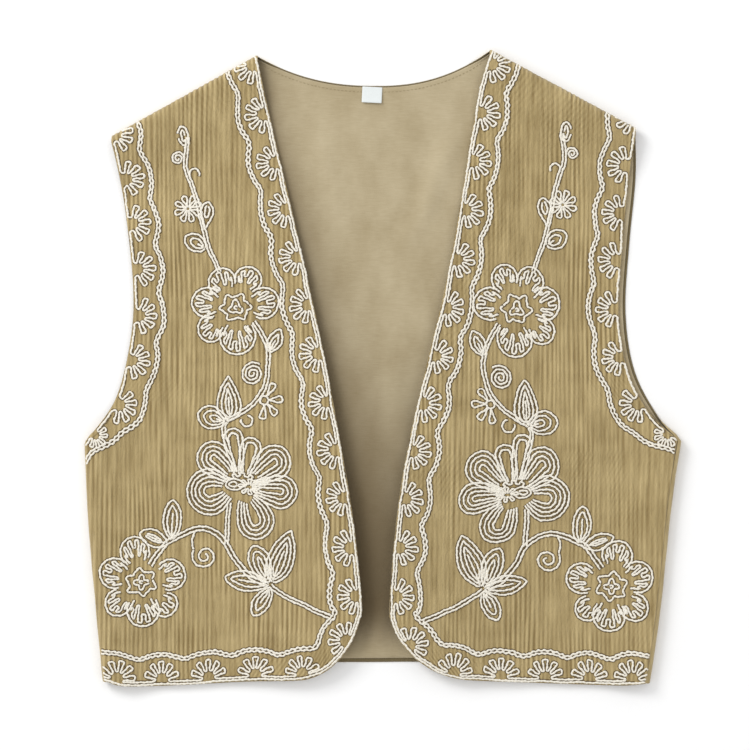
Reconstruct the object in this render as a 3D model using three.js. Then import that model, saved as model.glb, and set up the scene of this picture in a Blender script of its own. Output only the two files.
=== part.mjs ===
// An embroidered waistcoat laid flat with its open front up: a back and its lining, two fronts joined
// to the back at the sides and shoulders, and a small size label at the back of the neck.
// Millimetres. +X is the wearer's left, +Y is towards the neck, +Z is up from the table.
import * as THREE from "three";

// Cloth
const BACK_WALL = 1.2;
const LINING_WALL = 1.0;
const FRONT_WALL = 2.0;
const LABEL_WALL = 0.6;
const SEAM_ROOM = 0.65; // along the middle of the cloth: its slanting ends are about 0.3 apart
const REST_GAP = 0.4; // where one piece lies on another

// Heights of the middle of the cloth above the table
const BACK_HEIGHT = BACK_WALL / 2;
const LINING_HEIGHT = BACK_WALL + REST_GAP + LINING_WALL / 2;
const LINING_TOP = BACK_WALL + LINING_WALL + REST_GAP;
const FRONT_REST = LINING_TOP + REST_GAP + FRONT_WALL / 2; // where a front lies on the lining
const SIDE_FOLD = 4.5; // radius of the soft fold at each side
const SEAM_HEIGHT = BACK_HEIGHT + SIDE_FOLD;
const FOLD_TOP = SEAM_HEIGHT + SIDE_FOLD;
const SHOULDER_FOLD = 4.5; // how far the fold at a shoulder runs in from its seam
const SIDE_SETTLE = 42; // a front comes down from the side fold over this width
const SHOULDER_SETTLE = 0.12; // and from the shoulder fold over this share of its length
const EDGE_LIFT = 11; // how far the stiff front edges stand up where they are highest
const LIFTED = { from: 0.4, to: 1.05 }; // over these shares of a front's width

// Shares of a panel's length, from the hem to the shoulder
const UNDERARM = 0.37;
const OPENED_OUT = 0.46; // by here the side fold has opened out into the armhole's two edges
const HIGHEST = 0.22; // where the front edges stand highest
const LIFT_FADES = { below: -0.5, above: 0.95 }; // where that lift would have gone to nothing
const SEAM_EASES = 0.8 * UNDERARM; // the side seams ease apart from here to the underarm
const LINING_HEM = 0.006; // where the lining stops short of the hem
const FOLD_FADES = 0.3; // the lining's folds keep their height over this share of their length
const NECK_EASE = 0.05; // share of the back's width over which a shoulder's fold dies out at the neck

const DEGREE = Math.PI / 180;
const at = (x, y) => new THREE.Vector2(x, y);

// Each side's outline. `side` runs up from the hem to the underarm, `armhole` on towards the shoulder
// tip, `hem` from the side to the round corner, and `edge` from that corner up towards the neck.
// `seamAngle` is how far up the fold the side seam lies; `backShows` is how far the back's armhole
// stands out past the front's. On the wearer's left the back wraps over the fold, and on the right it
// stops just over the outermost line. `foldSteps` are the front's grid values from the fold to its seam.
const RIGHT = {
  inward: 1,
  seamAngle: 35 * DEGREE,
  foldSteps: [0.25, 0.5, 0.75, 0.95, 1],
  backShows: -1.5,
  side: [at(-223, -249), at(-229, -186), at(-235, -115), at(-237.5, -58)],
  armhole: [at(-213, -24), at(-201, 24), at(-199, 66), at(-205, 125), at(-211.5, 162)],
  shoulderTip: at(-216, 185),
  neck: at(-100, 249.5),
  hem: [at(-205, -252.5), at(-165, -252), at(-110, -249)],
  edge: [at(-24, -118), at(-35, -53), at(-46, 6), at(-59, 66), at(-74, 132), at(-86, 182)],
  corner: { centre: at(-71, -184), across: 54, down: 64 },
};
const LEFT = {
  inward: -1,
  seamAngle: 75 * DEGREE,
  foldSteps: [1],
  backShows: 5,
  side: [at(213, -250.5), at(221, -196), at(231, -104), at(238.5, -56)],
  armhole: [at(214, -36), at(196, -1), at(189, 45), at(192, 100), at(197, 152)],
  shoulderTip: at(202, 191.5),
  neck: at(86, 254),
  hem: [at(185, -252), at(122, -250)],
  edge: [at(12, -116), at(22, -56), at(40, 22), at(49, 59), at(60, 116), at(76.5, 215)],
  corner: { centre: at(76, -188), across: 70, down: 60 },
};

const NECKLINE = { lowest: at(-5, 226), roundness: 2.3 };
const BACK_HEM = [at(-150, -241), at(-60, -235), at(-8, -234), at(50, -234.5), at(140, -241.5)];

// Soft folds in the lining, where it shows: middle, direction from +X, length, width and height.
const LINING_FOLDS = [
  { x: 45, y: 158, direction: 66, length: 90, width: 9, height: 1.8 },
  { x: 30, y: 120, direction: 58, length: 70, width: 8, height: 1.3 },
  { x: -42, y: 150, direction: 112, length: 80, width: 9, height: 1.2 },
  { x: -2, y: -205, direction: 80, length: 60, width: 8, height: 1.6 },
  { x: 12, y: -30, direction: 96, length: 150, width: 10, height: 1.1 },
];

const LABEL = { middle: at(-8.4, 219), width: 15.6, height: 12.4, turn: -3 * DEGREE, curl: 1.2 };

const mix = THREE.MathUtils.lerp;
const eased = (low, high, value) => THREE.MathUtils.smoothstep(value, low, high);
const shifted = (points, dx) => points.map((point) => at(point.x + dx, point.y));

// A smooth curve through points, as a function of the share of its length.
function through(points) {
  const curve = new THREE.SplineCurve(points);
  return (share) => curve.getPointAt(THREE.MathUtils.clamp(share, 0, 1));
}

// Two curves end to end, the first one up to the share UNDERARM of the panel's length.
function endToEnd(below, above) {
  const rest = 1 - UNDERARM;
  return (v) => (v <= UNDERARM ? below(v / UNDERARM) : above((v - UNDERARM) / rest));
}

// A patch of the plan between four edges that meet at its corners (a Coons patch).
function patch(bottom, top, start, end) {
  return (u, v) => {
    const ruledUp = bottom(u).lerp(top(u), v);
    const ruledAcross = start(v).lerp(end(v), u);
    const corners = bottom(0).lerp(bottom(1), u).lerp(top(0).lerp(top(1), u), v);
    return ruledUp.add(ruledAcross).sub(corners);
  };
}

// The line `reach` in from a panel's side and armhole edges; the armhole is `shows` further out.
function lineInside(side, { sideReach, reach, shows }) {
  const { inward, shoulderTip, neck } = side;
  const slope = (neck.y - shoulderTip.y) / (neck.x - shoulderTip.x);
  const tip = at(shoulderTip.x + inward * reach, shoulderTip.y + inward * reach * slope - SHOULDER_FOLD);
  const below = shifted(side.side, inward * sideReach);
  const above = shifted(side.armhole, inward * (reach - shows));
  return endToEnd(through(below), through([below.at(-1), ...above, tip]));
}

// Points round a front's lower corner, between two angles below the horizontal.
function cornerArc({ inward, corner: { centre, across, down } }, from, to) {
  return spaced(from * DEGREE, to * DEGREE, 3).map((angle) =>
    at(centre.x + inward * across * Math.cos(angle), centre.y - down * Math.sin(angle)),
  );
}

// How much of the side fold there is at a share of the panel's length.
const foldShare = (v) => 1 - eased(UNDERARM, OPENED_OUT, v);

// The angle by which a fold's cloth stops short of its seam, which eases apart at the underarm.
const seamTurn = (v) => (SEAM_ROOM / 2 / SIDE_FOLD) * (1 + eased(SEAM_EASES, UNDERARM, v));

// The middle of a front's cloth. Across, c runs from -1 at the side seam, over the fold to 0, and on to
// 1 at the front edge. Along, r runs from 0 at the hem to 1, and over the shoulder's fold to 2.
function frontSurface(side) {
  const seamReach = SIDE_FOLD * Math.cos(side.seamAngle);
  const fold = lineInside(side, { sideReach: SIDE_FOLD, reach: seamReach, shows: 0 });
  const seam = lineInside(side, { sideReach: SIDE_FOLD - seamReach, reach: 0, shows: 0 });
  const neck = at(side.neck.x, side.neck.y - SHOULDER_FOLD);
  const hem = through([fold(0), ...side.hem, ...cornerArc(side, 90, 45)]);
  const edge = through([...cornerArc(side, 45, 0), ...side.edge, neck]);
  const shoulder = (u) => fold(1).lerp(neck, u);
  const plan = patch(hem, shoulder, fold, edge);

  const height = (u, v) => {
    const fromFold = Math.abs(plan(u, v).x - fold(v).x);
    const bySide = foldShare(v) * (1 - eased(0, SIDE_SETTLE, fromFold));
    const byShoulder = eased(1 - SHOULDER_SETTLE, 1, v);
    const folded = 1 - (1 - bySide) * (1 - byShoulder);
    const along = eased(LIFT_FADES.below, HIGHEST, v) * (1 - eased(HIGHEST, LIFT_FADES.above, v));
    const lifted = EDGE_LIFT * along * eased(LIFTED.from, LIFTED.to, u);
    return mix(FRONT_REST, FOLD_TOP, folded) + lifted;
  };

  return (c, r) => {
    const [u, v] = [Math.max(c, 0), Math.min(r, 1)];
    const place = plan(u, v);
    let z = height(u, v);
    if (c < 0) {
      const turn = mix(Math.PI / 2, side.seamAngle + seamTurn(v), -c);
      place.copy(fold(v)).lerp(seam(v), (SIDE_FOLD * Math.cos(turn)) / seamReach);
      z = mix(z, SEAM_HEIGHT + SIDE_FOLD * Math.sin(turn), foldShare(v));
    }
    if (r > 1) {
      const turn = mix(Math.PI / 2, seamTurn(0), r - 1);
      place.y += SHOULDER_FOLD * Math.cos(turn);
      z = mix(SEAM_HEIGHT, z, Math.sin(turn));
    }
    return new THREE.Vector3(place.x, place.y, z);
  };
}

// The back's upper edge: one shoulder, the neckline and the other shoulder.
const BACK_COLUMNS = 18;
const SHOULDER_SHARE = 5 / BACK_COLUMNS;
function backTop(tips) {
  const [right, left] = [RIGHT, LEFT].map(({ neck }) => at(neck.x, neck.y - SHOULDER_FOLD));
  const lowest = NECKLINE.lowest.y - SHOULDER_FOLD;
  return (u) => {
    if (u <= SHOULDER_SHARE) return tips[0].clone().lerp(right, u / SHOULDER_SHARE);
    if (u >= 1 - SHOULDER_SHARE) return tips[1].clone().lerp(left, (1 - u) / SHOULDER_SHARE);
    const x = mix(right.x, left.x, (u - SHOULDER_SHARE) / (1 - 2 * SHOULDER_SHARE));
    const point = x < NECKLINE.lowest.x ? right : left;
    const fromLowest = (x - NECKLINE.lowest.x) / (point.x - NECKLINE.lowest.x);
    return at(x, mix(lowest, point.y, fromLowest ** NECKLINE.roundness));
  };
}

// The middle of the back's cloth, `inside` above it for what lies on it. Across, c runs from -2 at the
// right side seam, round the fold to -1, over to 1 and round the left fold to 2. Along, r is as above.
function backSurface() {
  const [right, left] = [RIGHT, LEFT].map((side) => ({
    fold: lineInside(side, { sideReach: SIDE_FOLD, reach: SIDE_FOLD, shows: side.backShows }),
    outer: lineInside(side, { sideReach: 0, reach: 0, shows: side.backShows }),
    seamAngle: side.seamAngle,
  }));
  const hem = through([right.fold(0), ...BACK_HEM, left.fold(0)]);
  const plan = patch(hem, backTop([right.fold(1), left.fold(1)]), right.fold, left.fold);

  return (c, r) => {
    const [u, v] = [(THREE.MathUtils.clamp(c, -1, 1) + 1) / 2, Math.min(r, 1)];
    const place = plan(u, v);
    let z = BACK_HEIGHT;
    const round = Math.abs(c) - 1;
    if (round > 0) {
      const { fold, outer, seamAngle } = c < 0 ? right : left;
      const turn = mix(-Math.PI / 2, seamAngle - seamTurn(v), round);
      place.copy(fold(v)).lerp(outer(v), mix(round, Math.cos(turn), foldShare(v)));
      z = mix(z, SEAM_HEIGHT + SIDE_FOLD * Math.sin(turn), foldShare(v));
    }
    if (r > 1) {
      const turn = mix(Math.PI / 2, seamTurn(0), r - 1);
      const fromShoulder = Math.min(u, 1 - u) - SHOULDER_SHARE;
      const risen = 1 - eased(0, NECK_EASE, fromShoulder);
      place.y += SHOULDER_FOLD * mix(r - 1, Math.cos(turn), risen);
      z = mix(z, mix(SEAM_HEIGHT, z, Math.sin(turn)), risen);
    }
    return new THREE.Vector3(place.x, place.y, z);
  };
}

// How far the lining's folds lift it at a place in the plan.
function foldRise({ x, y }) {
  const rises = LINING_FOLDS.map((fold) => {
    const [cos, sin] = [Math.cos(fold.direction * DEGREE), Math.sin(fold.direction * DEGREE)];
    const [dx, dy] = [x - fold.x, y - fold.y];
    const along = Math.abs(dx * cos + dy * sin) / (fold.length / 2);
    const across = (dy * cos - dx * sin) / fold.width;
    return fold.height * Math.exp(-across * across) * (1 - eased(FOLD_FADES, 1, along));
  });
  return rises.reduce((sum, rise) => sum + rise, 0);
}

const counted = (count, make) => Array.from({ length: count }, (_, i) => make(i));
const spaced = (from, to, steps) => counted(steps + 1, (i) => mix(from, to, i / steps));

// A wall of cloth on a surface, over a grid of values across and along it. `shift` moves it off the
// surface, along the surface's own normals.
function cloth(surface, across, along, { wall, shift = () => 0 }) {
  const [columns, rows] = [across.length, along.length];
  const vertex = (i, j) => j * columns + i;
  const points = along.flatMap((r) => across.map((c) => surface(c, r)));
  const faces = [];
  for (let j = 0; j < rows - 1; j += 1) {
    for (let i = 0; i < columns - 1; i += 1) {
      const [a, b, c, d] = [vertex(i, j), vertex(i + 1, j), vertex(i + 1, j + 1), vertex(i, j + 1)];
      faces.push([a, b, d], [b, c, d]);
    }
  }
  const middle = new THREE.BufferGeometry().setFromPoints(points);
  middle.setIndex(faces.flat());
  middle.computeVertexNormals();

  const normals = middle.getAttribute("normal");
  const layer = (offset) =>
    points.map((point, k) => {
      const normal = new THREE.Vector3().fromBufferAttribute(normals, k);
      return point.clone().addScaledVector(normal, offset + shift(point));
    });
  const under = points.length;
  const rim = [
    ...counted(columns, (i) => vertex(i, 0)),
    ...counted(rows - 1, (j) => vertex(columns - 1, j + 1)),
    ...counted(columns - 1, (i) => vertex(columns - 2 - i, rows - 1)),
    ...counted(rows - 2, (j) => vertex(0, rows - 2 - j)),
  ];
  const sides = rim.flatMap((a, k) => {
    const b = rim[(k + 1) % rim.length];
    return [[a, a + under, b + under], [a, b + under, b]];
  });
  const solid = new THREE.BufferGeometry().setFromPoints([...layer(wall / 2), ...layer(-wall / 2)]);
  const underside = faces.map(([a, b, c]) => [a + under, c + under, b + under]);
  solid.setIndex([...faces, ...underside, ...sides].flat());
  solid.computeVertexNormals();
  return solid;
}

// The back's grid values round a fold, from where it starts to its seam, closer together at the seam.
const FOLD_STEPS = [0.25, 0.5, 0.75, 0.95, 1];
const FRONT_COLUMNS = 13;
const SHOULDER_STEPS = [1.4, 1.7, 1.95, 2];
// Rows from the hem to the shoulder, with one at the underarm; every piece shares those of the seams.
const ROWS = [...spaced(0, UNDERARM, 8), ...spaced(UNDERARM, 1, 13).slice(1)];

function makeFront(side) {
  const across = [...side.foldSteps.map((step) => -step).reverse(), ...spaced(0, 1, FRONT_COLUMNS)];
  // Across runs leftwards on the wearer's left front, so its grid is turned to keep its faces outward.
  const columns = side.inward > 0 ? across : across.reverse();
  return cloth(frontSurface(side), columns, [...ROWS, ...SHOULDER_STEPS], { wall: FRONT_WALL });
}

function makeBack() {
  const rightFold = FOLD_STEPS.map((step) => -1 - step).reverse();
  const leftFold = FOLD_STEPS.map((step) => 1 + step);
  const across = [...rightFold, ...spaced(-1, 1, BACK_COLUMNS), ...leftFold];
  return cloth(backSurface(), across, [...ROWS, ...SHOULDER_STEPS], { wall: BACK_WALL });
}

// The lining follows the back into its folds and to just short of its edges. Its columns are closer
// together where it shows.
function makeLining() {
  const folds = FOLD_STEPS.filter((step) => step <= 0.5);
  const across = [
    ...folds.map((step) => -1 - step).reverse(),
    ...spaced(-1, -1 / 3, 6),
    ...spaced(-2 / 9, 2 / 9, 12),
    ...spaced(1 / 3, 1, 6),
    ...folds.map((step) => 1 + step),
  ];
  const along = [LINING_HEM, ...ROWS.slice(1), ...SHOULDER_STEPS.filter((step) => step < 1.9)];
  const shift = (point) => LINING_HEIGHT - BACK_HEIGHT + foldRise(point);
  return cloth(backSurface(), across, along, { wall: LINING_WALL, shift });
}

// The label hangs from the neck seam, its free end curling up a little.
function makeLabel() {
  const height = LINING_TOP + REST_GAP + LABEL_WALL / 2;
  const surface = (c, r) => {
    const place = at(c * LABEL.width / 2, r * LABEL.height / 2).rotateAround(at(0, 0), LABEL.turn);
    const curled = LABEL.curl * ((1 - r) / 2) ** 2;
    return new THREE.Vector3(LABEL.middle.x + place.x, LABEL.middle.y + place.y, height + curled);
  };
  return cloth(surface, spaced(-1, 1, 3), spaced(-1, 1, 4), { wall: LABEL_WALL });
}

const COLOURS = { gauze: 0xa8946b, lining: 0xb9ab8a, label: 0xedf2f0 };
const piece = (name, colour, geometry) => {
  const material = new THREE.MeshStandardMaterial({ color: colour, roughness: 0.95, metalness: 0 });
  const mesh = new THREE.Mesh(geometry, material);
  mesh.name = name;
  return mesh;
};

const waistcoat = new THREE.Group();
waistcoat.add(
  piece("right_front", COLOURS.gauze, makeFront(RIGHT)),
  piece("left_front", COLOURS.gauze, makeFront(LEFT)),
  piece("back_shell", COLOURS.gauze, makeBack()),
  piece("back_lining", COLOURS.lining, makeLining()),
  piece("size_label", COLOURS.label, makeLabel()),
);

// The origin is under the middle of the garment, on the table.
const box = new THREE.Box3().setFromObject(waistcoat);
const middle = box.getCenter(new THREE.Vector3());
waistcoat.position.set(-middle.x, -middle.y, -box.min.z);

export default waistcoat;
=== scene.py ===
"""An embroidered waistcoat of crinkled gauze, laid flat with its open front up.

Lengths are millimetres in the garment's own plan, as it was cut: x towards the wearer's left, y towards
the neck, z up from the table. They become metres, in the row frame, when a mesh is made.
"""

import math

import bpy
import numpy as np
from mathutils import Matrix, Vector
from mathutils.bvhtree import BVHTree


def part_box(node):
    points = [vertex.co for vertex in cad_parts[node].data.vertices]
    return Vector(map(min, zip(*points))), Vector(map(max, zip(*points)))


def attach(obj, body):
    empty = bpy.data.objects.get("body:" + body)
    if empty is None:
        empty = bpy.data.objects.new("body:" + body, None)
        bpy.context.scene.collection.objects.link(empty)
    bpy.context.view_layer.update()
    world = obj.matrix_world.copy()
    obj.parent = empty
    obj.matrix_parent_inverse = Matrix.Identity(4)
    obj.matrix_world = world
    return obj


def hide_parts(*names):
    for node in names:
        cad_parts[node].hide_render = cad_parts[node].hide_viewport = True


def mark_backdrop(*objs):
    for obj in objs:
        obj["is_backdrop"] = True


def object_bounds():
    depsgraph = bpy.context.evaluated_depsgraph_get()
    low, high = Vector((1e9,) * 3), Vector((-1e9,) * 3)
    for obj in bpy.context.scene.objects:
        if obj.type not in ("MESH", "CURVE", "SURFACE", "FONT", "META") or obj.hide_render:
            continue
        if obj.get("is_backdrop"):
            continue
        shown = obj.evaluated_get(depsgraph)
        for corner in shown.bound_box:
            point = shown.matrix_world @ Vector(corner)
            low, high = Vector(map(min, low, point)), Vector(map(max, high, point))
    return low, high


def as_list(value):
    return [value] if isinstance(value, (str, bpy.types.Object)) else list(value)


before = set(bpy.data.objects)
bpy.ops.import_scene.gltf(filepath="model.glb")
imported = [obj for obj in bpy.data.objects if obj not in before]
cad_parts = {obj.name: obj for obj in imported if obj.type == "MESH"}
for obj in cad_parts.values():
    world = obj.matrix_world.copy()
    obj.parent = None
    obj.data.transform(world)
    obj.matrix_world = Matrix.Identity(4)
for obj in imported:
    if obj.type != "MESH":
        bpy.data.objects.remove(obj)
cad_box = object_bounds()

MM = 0.001
DEGREE = math.pi / 180

# --- The cut, as the solids have it

BACK_WALL = 1.2
LINING_WALL = 1.0
FRONT_WALL = 2.0
LABEL_WALL = 0.6
REST_GAP = 0.4
BACK_HEIGHT = BACK_WALL / 2
LINING_HEIGHT = BACK_WALL + REST_GAP + LINING_WALL / 2
FRONT_REST = BACK_WALL + LINING_WALL + 2 * REST_GAP + FRONT_WALL / 2
SIDE_FOLD = 4.5
SEAM_HEIGHT = BACK_HEIGHT + SIDE_FOLD
FOLD_TOP = SEAM_HEIGHT + SIDE_FOLD
SHOULDER_FOLD = 4.5
SIDE_SETTLE = 42
SHOULDER_SETTLE = 0.12
EDGE_LIFT = 11
SEAM_TURN = 0.65 / 2 / SIDE_FOLD

# Shares of a piece's height: the underarm, where the fold is flat again, the front edge's highest lift.
UNDERARM = 0.37
OPENED_OUT = 0.46
HIGHEST = 0.22
# The share of the back's upper edge that each shoulder takes.
SHOULDER_SHARE = 5 / 18

RIGHT = {
    "inward": 1,
    "seam_angle": 35 * DEGREE,
    "back_shows": -1.5,
    "side": [(-223, -249), (-229, -186), (-235, -115), (-237.5, -58)],
    "armhole": [(-213, -24), (-201, 24), (-199, 66), (-205, 125), (-211.5, 162)],
    "shoulder_tip": (-216, 185),
    "neck": (-100, 249.5),
    "hem": [(-205, -252.5), (-165, -252), (-110, -249)],
    "edge": [(-24, -118), (-35, -53), (-46, 6), (-59, 66), (-74, 132), (-86, 182)],
    "corner": {"centre": (-71, -184), "across": 54, "down": 64},
}
LEFT = {
    "inward": -1,
    "seam_angle": 75 * DEGREE,
    "back_shows": 5,
    "side": [(213, -250.5), (221, -196), (231, -104), (238.5, -56)],
    "armhole": [(214, -36), (196, -1), (189, 45), (192, 100), (197, 152)],
    "shoulder_tip": (202, 191.5),
    "neck": (86, 254),
    "hem": [(185, -252), (122, -250)],
    "edge": [(12, -116), (22, -56), (40, 22), (49, 59), (60, 116), (76.5, 215)],
    "corner": {"centre": (76, -188), "across": 70, "down": 60},
}
NECKLINE = {"lowest": (-5, 226), "roundness": 2.3}
BACK_HEM = [(-150, -241), (-60, -235), (-8, -234), (50, -234.5), (140, -241.5)]
LINING_FOLDS = [
    {"x": 45, "y": 158, "direction": 66, "length": 90, "width": 9, "height": 1.8},
    {"x": 30, "y": 120, "direction": 58, "length": 70, "width": 8, "height": 1.3},
    {"x": -42, "y": 150, "direction": 112, "length": 80, "width": 9, "height": 1.2},
    {"x": -2, "y": -205, "direction": 80, "length": 60, "width": 8, "height": 1.6},
    {"x": 12, "y": -30, "direction": 96, "length": 150, "width": 10, "height": 1.1},
]
LABEL = {"middle": (-8.4, 219), "width": 15.6, "height": 12.4, "turn": -3 * DEGREE, "curl": 1.2}

# The label's solid says how far the row frame is from the cut's own plan.
label_low, label_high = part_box("size_label")
PLAN_SHIFT = np.array([*(label_low + label_high)[:2], 0]) / 2 / MM - [*LABEL["middle"], 0]


# --- Curves, patches and noise


def mix(a, b, share):
    return a + (b - a) * share


def eased(low, high, value):
    share = np.clip((value - low) / (high - low), 0, 1)
    return share * share * (3 - 2 * share)


def lengths_along(line):
    steps = np.hypot(*np.diff(line, axis=0).T)
    return np.concatenate([[0.0], np.cumsum(steps)])


def read_at(s, lengths, pairs):
    """The points, or other pairs, of a polyline at some lengths along it."""
    return np.stack([np.interp(s, lengths, pairs[:, k]) for k in (0, 1)], -1)


def by_share(line):
    """A polyline as a function of shares of its length."""
    shares = lengths_along(line)
    shares /= shares[-1]
    return lambda s: read_at(s, shares, line)


def smooth_line(points, steps=24):
    """A polyline along the smooth curve through points."""
    points = np.asarray(points, float)
    ends = np.vstack([points[:1], points, points[-1:]])
    t = np.linspace(0, 1, steps, endpoint=False)[:, None]
    pieces = [
        0.5 * (2 * b + (c - a) * t + (2 * a - 5 * b + 4 * c - d) * t**2 + (3 * b - a - 3 * c + d) * t**3)
        for a, b, c, d in zip(ends, ends[1:], ends[2:], ends[3:])
    ]
    return np.vstack([*pieces, points[-1:]])


def through(points):
    return by_share(smooth_line(points))


def patch(bottom, top, start, end):
    """A patch of the plan between four edges that meet at its corners (a Coons patch)."""
    low = (bottom(0.0), bottom(1.0))
    high = (top(0.0), top(1.0))

    def plan(u, v):
        across, up = u[..., None], v[..., None]
        ruled = mix(bottom(u), top(u), up) + mix(start(v), end(v), across)
        return ruled - mix(mix(*low, across), mix(*high, across), up)

    return plan


def noise(x, y, size, seed):
    """Smooth noise from -1 to 1, in cells of `size`, the same on every run."""
    table = np.random.default_rng(seed).uniform(-1, 1, (128, 128))
    gx, gy = x / size[0], y / size[1]
    ix, iy = np.floor(gx).astype(int), np.floor(gy).astype(int)
    fx, fy = eased(0, 1, gx - ix), eased(0, 1, gy - iy)
    low = mix(table[ix % 128, iy % 128], table[(ix + 1) % 128, iy % 128], fx)
    high = mix(table[ix % 128, (iy + 1) % 128], table[(ix + 1) % 128, (iy + 1) % 128], fx)
    return mix(low, high, fy)


# --- The pieces' forms


def end_to_end(below, above):
    def line(v):
        v = np.asarray(v, float)
        first = below(np.clip(v / UNDERARM, 0, 1))
        second = above(np.clip((v - UNDERARM) / (1 - UNDERARM), 0, 1))
        return np.where(v[..., None] <= UNDERARM, first, second)

    return line


def line_inside(side, side_reach, reach, shows):
    """The line `reach` in from a panel's side and armhole edges; the armhole is `shows` further out."""
    inward, tip, neck = side["inward"], side["shoulder_tip"], side["neck"]
    slope = (neck[1] - tip[1]) / (neck[0] - tip[0])
    last = (tip[0] + inward * reach, tip[1] + inward * reach * slope - SHOULDER_FOLD)
    below = [(x + inward * side_reach, y) for x, y in side["side"]]
    above = [(x + inward * (reach - shows), y) for x, y in side["armhole"]]
    return end_to_end(through(below), through([below[-1], *above, last]))


def corner_arc(side, start, stop):
    corner = side["corner"]
    angles = np.linspace(start, stop, 4) * DEGREE
    x = corner["centre"][0] + side["inward"] * corner["across"] * np.cos(angles)
    return list(zip(x, corner["centre"][1] - corner["down"] * np.sin(angles)))


def fold_share(v):
    return 1 - eased(UNDERARM, OPENED_OUT, v)


def seam_turn(v):
    return SEAM_TURN * (1 + eased(0.8 * UNDERARM, UNDERARM, v))


def front_lines(side):
    """The four edges of a front's plan: hem, front edge, the line where the side fold ends, its seam."""
    seam_reach = SIDE_FOLD * math.cos(side["seam_angle"])
    fold = line_inside(side, SIDE_FOLD, seam_reach, 0)
    seam = line_inside(side, SIDE_FOLD - seam_reach, 0, 0)
    neck = np.array(side["neck"]) - (0, SHOULDER_FOLD)
    hem = through([fold(0.0), *side["hem"], *corner_arc(side, 90, 45)])
    edge = through([*corner_arc(side, 45, 0), *side["edge"], neck])
    return hem, edge, fold, seam


def front_form(side):
    """The middle of a front's cloth: c from -1 at the side seam to 1 at the front edge, r from 0 at the
    hem to 1, and to 2 at the shoulder seam."""
    hem, edge, fold, seam = front_lines(side)
    seam_reach = SIDE_FOLD * math.cos(side["seam_angle"])
    neck = edge(1.0)
    plan = patch(hem, lambda u: mix(fold(1.0), neck, np.asarray(u)[..., None]), fold, edge)

    def height(u, v, place):
        by_side = fold_share(v) * (1 - eased(0, SIDE_SETTLE, np.abs(place[..., 0] - fold(v)[..., 0])))
        by_shoulder = eased(1 - SHOULDER_SETTLE, 1, v)
        folded = 1 - (1 - by_side) * (1 - by_shoulder)
        along = eased(-0.5, HIGHEST, v) * (1 - eased(HIGHEST, 0.95, v))
        return mix(FRONT_REST, FOLD_TOP, folded) + EDGE_LIFT * along * eased(0.4, 1.05, u)

    def form(c, r):
        u, v = np.maximum(c, 0), np.minimum(r, 1)
        place = plan(u, v)
        z = height(u, v, place)
        turn = mix(math.pi / 2, side["seam_angle"] + seam_turn(v), np.maximum(-c, 0))
        reach = SIDE_FOLD * np.cos(turn) / seam_reach
        place = np.where((c < 0)[..., None], mix(fold(v), seam(v), reach[..., None]), place)
        z = np.where(c < 0, mix(z, SEAM_HEIGHT + SIDE_FOLD * np.sin(turn), fold_share(v)), z)
        turn = mix(math.pi / 2, SEAM_TURN, np.maximum(r - 1, 0))
        place = place + np.stack([0 * turn, SHOULDER_FOLD * np.cos(turn)], -1)
        return np.concatenate([place, mix(SEAM_HEIGHT, z, np.sin(turn))[..., None]], -1)

    return form


def back_top(tips):
    """The back's upper edge: one shoulder, the neckline and the other shoulder."""
    points = [np.array(side["neck"]) - (0, SHOULDER_FOLD) for side in (RIGHT, LEFT)]
    lowest_x, lowest_y = NECKLINE["lowest"][0], NECKLINE["lowest"][1] - SHOULDER_FOLD

    def line(u):
        u = np.asarray(u, float)[..., None]
        x = mix(points[0][0], points[1][0], (u - SHOULDER_SHARE) / (1 - 2 * SHOULDER_SHARE))
        side_point = np.where(x < lowest_x, points[0], points[1])
        from_lowest = np.abs((x[..., 0] - lowest_x) / (side_point[..., 0] - lowest_x))
        y = mix(lowest_y, side_point[..., 1], np.minimum(from_lowest, 1) ** NECKLINE["roundness"])
        neckline = np.stack([x[..., 0], y], -1)
        first = mix(tips[0], points[0], u / SHOULDER_SHARE)
        last = mix(tips[1], points[1], (1 - u) / SHOULDER_SHARE)
        return np.where(u <= SHOULDER_SHARE, first, np.where(u >= 1 - SHOULDER_SHARE, last, neckline))

    return line


def back_form():
    """The middle of the back's cloth: c from -2 at the right side seam, round the fold to -1, over to 1
    and round the left fold to 2; r from 0 at the hem to 1, and to 2 at the shoulder seams and neck."""
    folds = [line_inside(s, SIDE_FOLD, SIDE_FOLD, s["back_shows"]) for s in (RIGHT, LEFT)]
    outers = [line_inside(s, 0, 0, s["back_shows"]) for s in (RIGHT, LEFT)]
    hem = through([folds[0](0.0), *BACK_HEM, folds[1](0.0)])
    plan = patch(hem, back_top([folds[0](1.0), folds[1](1.0)]), *folds)

    def form(c, r):
        u, v = (np.clip(c, -1, 1) + 1) / 2, np.minimum(r, 1)
        place = plan(u, v)
        z = np.full(c.shape, BACK_HEIGHT)
        for sign, side, fold, outer in zip((-1, 1), (RIGHT, LEFT), folds, outers):
            around = np.maximum(sign * c - 1, 0)
            turn = mix(-math.pi / 2, side["seam_angle"] - seam_turn(v), around)
            reach = mix(around, np.cos(turn), fold_share(v))[..., None]
            here = around > 0
            place = np.where(here[..., None], mix(fold(v), outer(v), reach), place)
            z = np.where(here, mix(z, SEAM_HEIGHT + SIDE_FOLD * np.sin(turn), fold_share(v)), z)
        over = np.maximum(r - 1, 0)
        turn = mix(math.pi / 2, SEAM_TURN, over)
        risen = 1 - eased(0, 0.05, np.minimum(u, 1 - u) - SHOULDER_SHARE)
        place = place + np.stack([0 * turn, SHOULDER_FOLD * mix(over, np.cos(turn), risen)], -1)
        z = mix(z, mix(SEAM_HEIGHT, z, np.sin(turn)), np.where(r > 1, risen, 0))
        return np.concatenate([place, z[..., None]], -1)

    return form


# --- Cloth

RIDGE_PITCH = 3.7
RIDGE_HEIGHT = 0.3
RIDGE_HEIGHT_INSIDE = 0.12
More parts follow.
